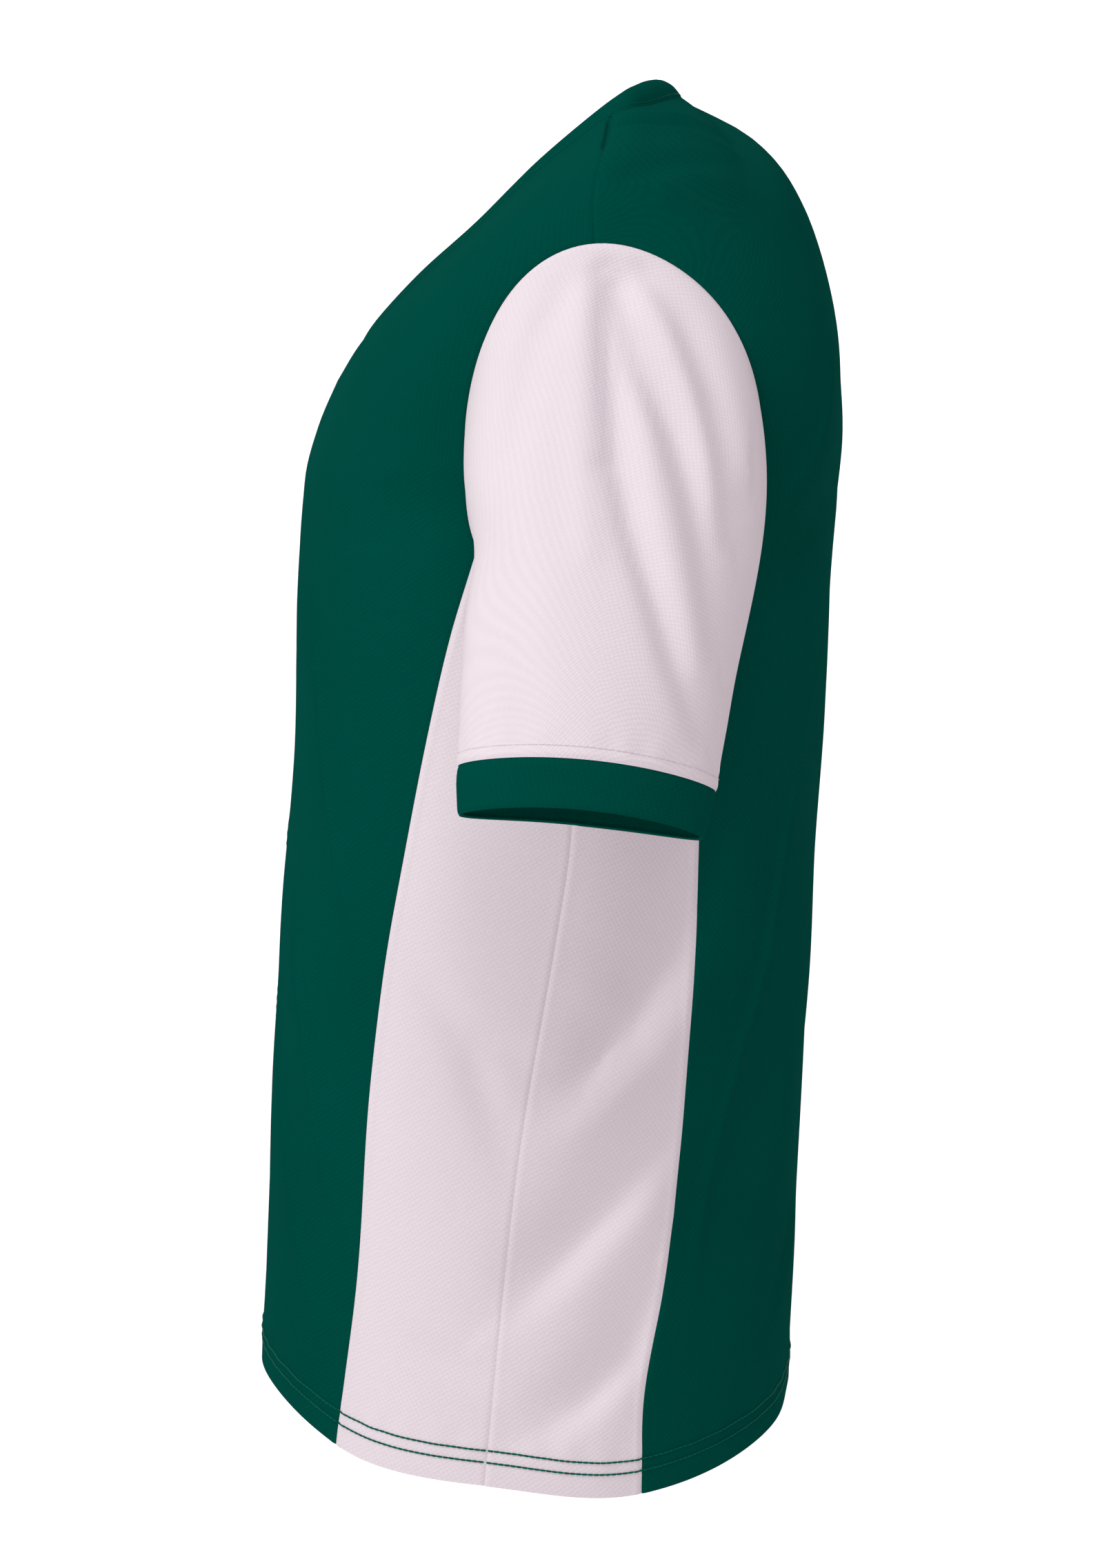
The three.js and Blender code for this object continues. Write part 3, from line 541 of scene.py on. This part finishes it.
class Cloth:
    """Grids of points joined into one piece with a wall."""

    def __init__(self, name):
        self.name = name
        self.points = np.zeros((0, 3))
        self.quads, self.uvs = [], []

    def add(self, grid, uv, flip, same=None, wrap=False):
        """same maps grid places to corners that are there already."""
        ids = len(self.points) + np.arange(grid.shape[0] * grid.shape[1]).reshape(grid.shape[:2])
        self.points = np.concatenate([self.points, grid.reshape(-1, 3)])
        if same is not None:
            ids[: len(same), 0] = same
        if wrap:
            ids[:, -1] = ids[:, 0]
        corners = [(slice(None, -1), slice(None, -1)), (slice(None, -1), slice(1, None)),
                   (slice(1, None), slice(1, None)), (slice(1, None), slice(None, -1))]
        if flip:
            corners.reverse()
        self.quads.append(np.stack([ids[c].ravel() for c in corners], axis=1))
        self.uvs.append(np.stack([uv[c].reshape(-1, 2) for c in corners], axis=1))
        return ids

    def normals(self, points, quads):
        a, b, c, d = (points[quads[:, k]] for k in range(4))
        face = np.cross(c - a, d - b)
        total = np.zeros_like(points)
        for k in range(4):
            np.add.at(total, quads[:, k], face)
        size = np.linalg.norm(total, axis=1, keepdims=True)
        return total / np.where(size > 0, size, 1)

    def build(self, raised, wall, material):
        """raised and wall hold a value for each corner; gives the object, its outer points and normals."""
        quads, uvs = np.concatenate(self.quads), np.concatenate(self.uvs)
        outer = self.points + self.normals(self.points, quads) * raised[:, None]
        normals = self.normals(outer, quads)
        inner = outer - normals * wall[:, None]
        used = np.unique(quads)
        place = np.full(len(outer), -1)
        place[used] = np.arange(len(used))
        quads = place[quads]
        count = len(used)
        edges = np.concatenate([np.stack([quads[:, k], quads[:, (k + 1) % 4]], axis=1) for k in range(4)])
        edge_uv = np.concatenate([np.stack([uvs[:, k], uvs[:, (k + 1) % 4]], axis=1) for k in range(4)])
        keys = edges.min(axis=1) * count + edges.max(axis=1)
        _, where, times = np.unique(keys, return_index=True, return_counts=True)
        rim = where[times == 1]
        a, b = edges[rim, 0], edges[rim, 1]
        rims = np.stack([b, a, a + count, b + count], axis=1)
        rim_uv = edge_uv[rim][:, [1, 0, 0, 1]]
        faces = np.concatenate([quads, quads[:, ::-1] + count, rims])
        face_uv = np.concatenate([uvs, uvs[:, ::-1], rim_uv])
        mesh = bpy.data.meshes.new(self.name)
        mesh.from_pydata((np.concatenate([outer[used], inner[used]]) * MM).tolist(), [], faces.tolist())
        layer = mesh.uv_layers.new(name="cloth")
        layer.data.foreach_set("uv", (face_uv.reshape(-1, 2) * MM).ravel())
        mesh.polygons.foreach_set("use_smooth", [True] * len(mesh.polygons))
        rim_pairs = np.stack([a, b], axis=1)
        sharp = {tuple(sorted(pair)) for pair in np.concatenate([rim_pairs, rim_pairs + count]).tolist()}
        marks = [tuple(sorted(edge.vertices)) in sharp for edge in mesh.edges]
        mesh.attributes.new("sharp_edge", "BOOLEAN", "EDGE").data.foreach_set("value", marks)
        mesh.update()
        obj = bpy.data.objects.new(self.name, mesh)
        bpy.context.scene.collection.objects.link(obj)
        mesh.materials.append(material)
        return obj, outer, normals


def stitches(name, lines, radius, material):
    """Short rounded threads along lines of points and normals."""
    ring = np.array([[math.cos(a), math.sin(a)] for a in np.linspace(0, 2 * math.pi, 7)[:-1]])
    stages = [(-0.5, 0.5, -0.3), (-0.36, 0.95, 0.05), (0, 1, 0.2), (0.36, 0.95, 0.05), (0.5, 0.5, -0.3)]
    points, faces = [], []
    for line, normals in lines:
        steps = np.linalg.norm(np.diff(line, axis=0), axis=1)
        run = np.concatenate([[0], np.cumsum(steps)])
        pitch = STITCH["length"] + STITCH["gap"]
        for centre in np.arange(pitch / 2, run[-1], pitch):
            at = [np.array([np.interp(centre + d, run, line[:, k]) for k in range(3)])
                  for d in (-0.5 * STITCH["length"], 0, 0.5 * STITCH["length"])]
            normal = unit(np.array([np.interp(centre, run, normals[:, k]) for k in range(3)]))
            ahead = unit(at[2] - at[0])
            across = np.cross(normal, ahead)
            base = len(points)
            for place, size, lift in stages:
                middle = at[1] + ahead * place * STITCH["length"] + normal * radius * (0.35 + lift)
                for u, v in ring:
                    points.append(middle + (across * u + normal * v) * radius * size)
            for s in range(len(stages) - 1):
                for k in range(6):
                    low, next_k = base + 6 * s, (k + 1) % 6
                    faces.append((low + k, low + next_k, low + 6 + next_k, low + 6 + k))
            faces.append(tuple(base + k for k in reversed(range(6))))
            faces.append(tuple(base + 24 + k for k in range(6)))
    mesh = bpy.data.meshes.new(name)
    mesh.from_pydata((np.array(points) * MM).tolist(), [], faces)
    mesh.polygons.foreach_set("use_smooth", [True] * len(mesh.polygons))
    mesh.materials.append(material)
    obj = bpy.data.objects.new(name, mesh)
    bpy.context.scene.collection.objects.link(obj)
    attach(obj, "root")
    return obj


def line_at(grid, normals, distances, wanted):
    """Points and normals where each column of a grid is the wanted distance from its first row."""
    line, directions = [], []
    for j in range(grid.shape[1]):
        line.append([np.interp(wanted, distances[:, j], grid[:, j, k]) for k in range(3)])
        directions.append([np.interp(wanted, distances[:, j], normals[:, j, k]) for k in range(3)])
    return np.array(line), unit(np.array(directions))


def srgb(red, green, blue):
    values = [v / 255 for v in (red, green, blue)]
    return [v / 12.92 if v <= 0.04045 else ((v + 0.055) / 1.055) ** 2.4 for v in values] + [1]


def knit_material(name, colour, dark, weave, roughness, shine, sheen):
    """Fine mesh knit: slanting rows of small eyelets, a slow change of tone and a little loose fibre."""
    material = bpy.data.materials.new(name)
    material.use_nodes = True
    nodes, links = material.node_tree.nodes, material.node_tree.links
    shader = nodes["Principled BSDF"]
    shader.inputs["Sheen Weight"].default_value = sheen["weight"]
    shader.inputs["Sheen Roughness"].default_value = 0.4
    shader.inputs["Sheen Tint"].default_value = sheen["tint"]
    shader.inputs["Specular IOR Level"].default_value = shine

    def maths(operation, *values):
        node = nodes.new("ShaderNodeMath")
        node.operation = operation
        for k, value in enumerate(values):
            if isinstance(value, (int, float)):
                node.inputs[k].default_value = value
            else:
                links.new(value, node.inputs[k])
        return node.outputs[0]

    def blend(factor, first, second):
        ramp = nodes.new("ShaderNodeValToRGB")
        ramp.color_ramp.elements[0].color = first
        ramp.color_ramp.elements[1].color = second
        links.new(factor, ramp.inputs["Fac"])
        return ramp.outputs["Color"]

    uv = nodes.new("ShaderNodeUVMap")
    uv.uv_map = "cloth"
    parts = nodes.new("ShaderNodeSeparateXYZ")
    links.new(uv.outputs["UV"], parts.inputs[0])
    place = nodes.new("ShaderNodeTexCoord")
    uneven = nodes.new("ShaderNodeTexNoise")
    uneven.inputs["Scale"].default_value = 260
    links.new(place.outputs["Object"], uneven.inputs["Vector"])
    u = maths("MULTIPLY_ADD", uneven.outputs["Fac"], weave["uneven"] * MM, parts.outputs["X"])
    v = maths("MULTIPLY_ADD", uneven.outputs["Fac"], -weave["uneven"] * MM, parts.outputs["Y"])
    turn = 2 * math.pi / MM
    lean = math.radians(weave["lean"])
    over_rows = maths("SUBTRACT", maths("MULTIPLY", v, math.cos(lean)), maths("MULTIPLY", u, math.sin(lean)))
    along_rows = maths("ADD", maths("MULTIPLY", u, math.cos(lean)), maths("MULTIPLY", v, math.sin(lean)))
    rows = maths("SINE", maths("MULTIPLY", over_rows, turn / weave["row"]))
    dots = maths("SINE", maths("MULTIPLY", along_rows, turn / weave["dot"]))
    height = maths("ADD", maths("MULTIPLY", rows, 0.3), maths("MULTIPLY_ADD", dots, 0.2, 0.5))

    fibre = nodes.new("ShaderNodeTexNoise")
    fibre.inputs["Scale"].default_value = 1500
    fibre.inputs["Detail"].default_value = 2
    links.new(place.outputs["Object"], fibre.inputs["Vector"])
    bump = nodes.new("ShaderNodeBump")
    bump.inputs["Strength"].default_value = 1
    bump.inputs["Distance"].default_value = weave["depth"] * MM
    links.new(maths("MULTIPLY_ADD", fibre.outputs["Fac"], 0.25, height), bump.inputs["Height"])
    links.new(bump.outputs["Normal"], shader.inputs["Normal"])
    links.new(maths("MULTIPLY_ADD", fibre.outputs["Fac"], 0.2, roughness - 0.1), shader.inputs["Roughness"])

    cloud = nodes.new("ShaderNodeTexNoise")
    cloud.inputs["Scale"].default_value = 9
    cloud.inputs["Detail"].default_value = 3
    links.new(place.outputs["Object"], cloud.inputs["Vector"])
    knit = maths("MULTIPLY_ADD", height, weave["tone"], 0.35 - weave["tone"] / 2)
    tone = maths("ADD", knit, maths("MULTIPLY", cloud.outputs["Fac"], 0.3))
    links.new(blend(tone, dark, colour), shader.inputs["Base Color"])
    return material


def thread_material(name, colour):
    material = bpy.data.materials.new(name)
    material.use_nodes = True
    nodes, links = material.node_tree.nodes, material.node_tree.links
    shader = nodes["Principled BSDF"]
    shader.inputs["Roughness"].default_value = 0.6
    shader.inputs["Specular IOR Level"].default_value = 0.05
    place = nodes.new("ShaderNodeTexCoord")
    twist = nodes.new("ShaderNodeTexNoise")
    twist.inputs["Scale"].default_value = 900
    links.new(place.outputs["Object"], twist.inputs["Vector"])
    ramp = nodes.new("ShaderNodeValToRGB")
    ramp.color_ramp.elements[0].color = [v * 0.7 for v in colour[:3]] + [1]
    ramp.color_ramp.elements[1].color = colour
    links.new(twist.outputs["Fac"], ramp.inputs["Fac"])
    links.new(ramp.outputs["Color"], shader.inputs["Base Color"])
    return material


GREEN = knit_material(
    "green_knit", srgb(0, 84, 72), srgb(0, 60, 51),
    weave={"lean": 38, "row": 2, "dot": 2.1, "depth": 0.05, "tone": 0.22, "uneven": 1.6},
    roughness=0.75, shine=0, sheen={"weight": 0.03, "tint": [0.1, 0.5, 0.42, 1]},
)
PALE = knit_material(
    "pale_mesh", srgb(244, 238, 241), srgb(221, 211, 218),
    weave={"lean": 38, "row": 2, "dot": 2.1, "depth": 0.11, "tone": 0.34, "uneven": 1.6},
    roughness=0.8, shine=0.15, sheen={"weight": 0.05, "tint": [1, 0.95, 0.98, 1]},
)
GREEN_THREAD = thread_material("green_thread", srgb(0, 100, 84))
PALE_THREAD = thread_material("pale_thread", srgb(246, 234, 241))


def dress(obj, node):
    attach(obj, "root")
    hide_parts(node)


camera_data = bpy.data.cameras.new("camera")
camera_data.sensor_fit = "VERTICAL"
camera_data.sensor_height = 36
camera_data.lens = 36 * CAMERA["distance"] / CAMERA["field_height"]
camera = bpy.data.objects.new("camera", camera_data)
camera.location = (CAMERA["distance"] * MM, CAMERA["y"] * MM, CAMERA["z"] * MM)
camera.rotation_euler = (math.radians(90 - CAMERA["tilt"]), 0, math.radians(90))
bpy.context.scene.collection.objects.link(camera)
bpy.context.scene.camera = camera

hem_lines = []
built = {}

# Front and back panels, each in one piece from two halves that share the centre line
for node, from_back, open_row in (("front_panel", False, V_ROW), ("back_panel", True, BACK_ROW)):
    base = panel_grid(from_back)
    halves = {side: fold_body(base, side) for side in (1, -1)}
    middle = (halves[1][: open_row + 1, 0] + halves[-1][: open_row + 1, 0]) / 2
    cloth = Cloth(node + "_cloth")
    raised, walls, grids = [], [], {}
    ids = None
    for side in (1, -1):
        grid = halves[side].copy()
        grid[: open_row + 1, 0] = middle * [0, 1, 1]
        up, across = grid_frame(grid)
        to_end = across[:, -1:] - across
        to_top = up[-1:] - up
        x = grid[..., 0]
        crease = smooth(90, 98, x) * smooth(172, 150, x) * np.exp(-((to_top / 1.8) ** 2))
        grid = grid - SHOULDER_CREASE * UPWARD * crease[..., None]
        from_neck = np.where((np.arange(len(grid)) > open_row)[:, None], across, 99)
        lift = seam_dip(to_end) + seam_dip(to_top) * (1 - crease) + seam_dip(from_neck, 0.15, 0)
        lift = lift + hem_form(up, across + 40) - 0.02
        uv = np.stack([across * side * (-1 if from_back else 1), up], axis=-1)
        same = ids[: open_row + 1, 0] if side < 0 else None
        ids = cloth.add(grid * MIRROR[side], uv, flip=from_back != (side < 0), same=same)
        grids[side] = (up, ids)
        raised.append(lift.ravel())
        walls.append(hem_wall(up).ravel())
    obj, outer, normals = cloth.build(np.concatenate(raised), np.concatenate(walls), GREEN)
    for up, ids in grids.values():
        for height in HEM_STITCHES:
            hem_lines.append(line_at(outer[ids], normals[ids], up, height))
    built[node] = obj

# Side inserts
for word, side in (("left", 1), ("right", -1)):
    for piece, ends, tables in (("side_front", ("front_seam", "side_seam"), (FRONT_SEAM, SIDE_SEAM)),
                                ("side_back", ("side_seam", "rear_seam"), (SIDE_SEAM, REAR_SEAM))):
        grid = fold_body(insert_grid(*ends, tables), side)
        up, across = grid_frame(grid)
        to_end = across[:, -1:] - across
        outer_seam = across if piece == "side_front" else to_end
        lift = seam_dip(across) + seam_dip(to_end) + seam_dip(up[-1:] - up)
        lift = lift + bell(outer_seam, 3.4, 0.8, 0.45) + hem_form(up, across + 200) - 0.02
        cloth = Cloth(f"{piece}_{word}_cloth")
        ids = cloth.add(grid * MIRROR[side], np.stack([across * side, up], axis=-1), flip=side < 0)
        obj, outer, normals = cloth.build(lift.ravel(), hem_wall(up).ravel(), PALE)
        for height in HEM_STITCHES:
            hem_lines.append(line_at(outer[ids], normals[ids], up, height))
        built[f"{piece}_{word}"] = obj

# Sleeves and cuffs
cuff_lines = []
for word, side in (("left", 1), ("right", -1)):
    grid = sleeve_grid(side)
    down, around = grid_frame(grid)
    to_cuff = down[-1:] - down
    lift = seam_dip(down) - bell(to_cuff, 0, 1, 0.4) + bell(to_cuff, 3, 2, 0.35)
    lift = lift - bell(to_cuff, CUFF_STITCH, 1.1, 0.35) + bell(to_cuff, 30, 22, 0.8)
    lift = lift + np.sin(around / 3.1 + np.sin(around / 11)) * bell(to_cuff, 9, 5, 0.3)
    cloth = Cloth(f"sleeve_{word}_cloth")
    uv = np.stack([-around * side, -down], axis=-1)
    ids = cloth.add(grid * MIRROR[side], uv, flip=side < 0, wrap=True)
    obj, outer, normals = cloth.build(lift.ravel(), np.full(lift.size, KNIT), PALE)
    cuff_lines.append(line_at(outer[ids][::-1], normals[ids][::-1], to_cuff[::-1], CUFF_STITCH))
    built[f"sleeve_{word}"] = obj

    grid = cuff_grid()
    down, around = grid_frame(grid)
    below = down[-1:] - down
    lift = -bell(down, 0, 1.3, 0.6) - bell(below, 0, 1.2, 0.7) + 0.5 * smooth(0, 6, down)
    lift = lift + 0.5 * np.sin(around / 17 + side) * smooth(2, 10, down)
    cloth = Cloth(f"cuff_{word}_cloth")
    uv = np.stack([-around * side, -down], axis=-1)
    cloth.add(grid * MIRROR[side], uv, flip=side < 0, wrap=True)
    built[f"cuff_{word}"] = cloth.build(lift.ravel(), np.full(lift.size, FOLDED), GREEN)[0]

# Neckband
grid = band_grid()
up, around = grid_frame(grid)
to_edge = up[-1:] - up
share = up / up[-1:]
lift = BAND_BULGE * (4 * share * (1 - share)) ** 1.5 - bell(up, 0, 0.9, 0.15)
lift = lift - bell(to_edge, 0, 1.4, 0.8) - bell(up, BAND_STITCH, 0.7, 0.12)
cloth = Cloth("neckband_cloth")
ids = cloth.add(grid, np.stack([around, up], axis=-1), flip=False, wrap=True)
obj, outer, normals = cloth.build(lift.ravel(), np.full(lift.size, FOLDED), GREEN)
band_line = line_at(outer[ids], normals[ids], up, BAND_STITCH)
built["neckband"] = obj

stitching = {
    "hem": stitches("hem_stitches", hem_lines, 0.5, GREEN_THREAD),
    "cuff": stitches("cuff_stitches", cuff_lines, 0.22, PALE_THREAD),
    "neck": stitches("neck_stitches", [band_line], 0.22, GREEN_THREAD),
}

for node, obj in built.items():
    dress(obj, node)


def plain_material(name, colour, roughness):
    material = bpy.data.materials.new(name)
    material.use_nodes = True
    shader = material.node_tree.nodes["Principled BSDF"]
    shader.inputs["Base Color"].default_value = colour
    shader.inputs["Roughness"].default_value = roughness
    return material


# Pale studio: a floor that turns up into a backdrop
FLOOR_Z = -1.0
profile = [(3.2, 0), (-1.6, 0), (-1.9, 0.04), (-2.15, 0.16), (-2.3, 0.38), (-2.35, 0.7), (-2.35, 3.2)]
points = [(x, y, FLOOR_Z + z) for x, z in profile for y in (-4.5, 4.5)]
faces = [(2 * k, 2 * k + 2, 2 * k + 3, 2 * k + 1) for k in range(len(profile) - 1)]
stage_mesh = bpy.data.meshes.new("studio")
stage_mesh.from_pydata(points, [], faces)
stage_mesh.polygons.foreach_set("use_smooth", [True] * len(stage_mesh.polygons))
stage_mesh.materials.append(plain_material("studio_pale", [0.93, 0.93, 0.93, 1], 0.9))
studio = bpy.data.objects.new("studio", stage_mesh)
bpy.context.scene.collection.objects.link(studio)

world = bpy.data.worlds.new("studio_light")
world.use_nodes = True
world.node_tree.nodes["Background"].inputs["Color"].default_value = (1, 0.86, 0.925, 1)
world.node_tree.nodes["Background"].inputs["Strength"].default_value = 0.45
bpy.context.scene.world = world
bpy.context.scene.view_settings.view_transform = "Standard"

# Soft boxes: name, place, aim, size in metres, watts, colour
LIGHTS = [
    ("key", (1.3, -2.4, 1.6), (0, -0.05, -0.3), 0.9, 37, (0.97, 1, 0.99)),
    ("top", (1.9, 0.4, 2.3), (0, 0, -0.25), 1.2, 24, (0.98, 1, 0.99)),
    ("fill", (2.6, -1.3, -0.2), (0, 0, -0.35), 1.8, 10, (1, 0.98, 0.99)),
    ("backdrop", (-1.0, 0, 0.6), (-2.35, 0, 0.0), 2.6, 22, (0.98, 1, 0.99)),
]
for name, place, aim, size, watts, colour in LIGHTS:
    data = bpy.data.lights.new(name, "AREA")
    data.size = size
    data.energy = watts
    data.color = colour
    light = bpy.data.objects.new(name, data)
    light.location = place
    light.rotation_euler = (Vector(aim) - Vector(place)).to_track_quat("-Z", "Y").to_euler()
    bpy.context.scene.collection.objects.link(light)
